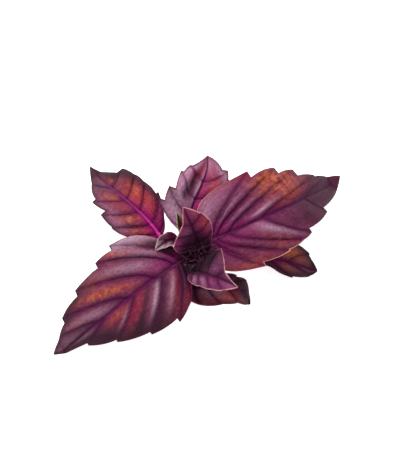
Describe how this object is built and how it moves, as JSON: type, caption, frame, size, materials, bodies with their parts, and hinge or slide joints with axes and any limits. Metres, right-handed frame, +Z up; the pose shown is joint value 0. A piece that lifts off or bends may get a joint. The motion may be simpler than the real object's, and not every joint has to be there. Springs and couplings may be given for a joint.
{
  "type": "purple basil sprig tip",
  "caption": "Leafy growing tip cut from a purple basil plant, lying on a surface with its arched leaves and short bent stem.",
  "frame": {"origin": "bottom centre of the bounding box, on the surface the sprig lies on", "axes": "+X runs along the two large opposite leaves to the right, +Y to the back, +Z up"},
  "size_m": [0.1144, 0.0796, 0.0454],
  "materials": {
    "leaf": "soft satin leaf surface, dusky purple",
    "young_leaf": "soft satin leaf surface, dark purple with a pale rim",
    "axil_leaf": "soft satin leaf surface, greyish purple and olive",
    "stem": "smooth satin herb stem, dark purple",
    "shoot_tip": "matt and finely hairy, almost black purple"
  },
  "bodies": {
    "root": {"stem": "stem", "leaf_front_left": "leaf", "leaf_back_right": "leaf", "leaf_back_left": "leaf", "leaf_low_right": "leaf", "leaf_back": "leaf", "leaf_front": "leaf", "young_leaf_back": "young_leaf", "young_leaf_front": "young_leaf", "axil_leaf_left": "axil_leaf", "axil_leaf_back": "axil_leaf", "shoot_tip": "shoot_tip"}
  },
  "joints": []
}
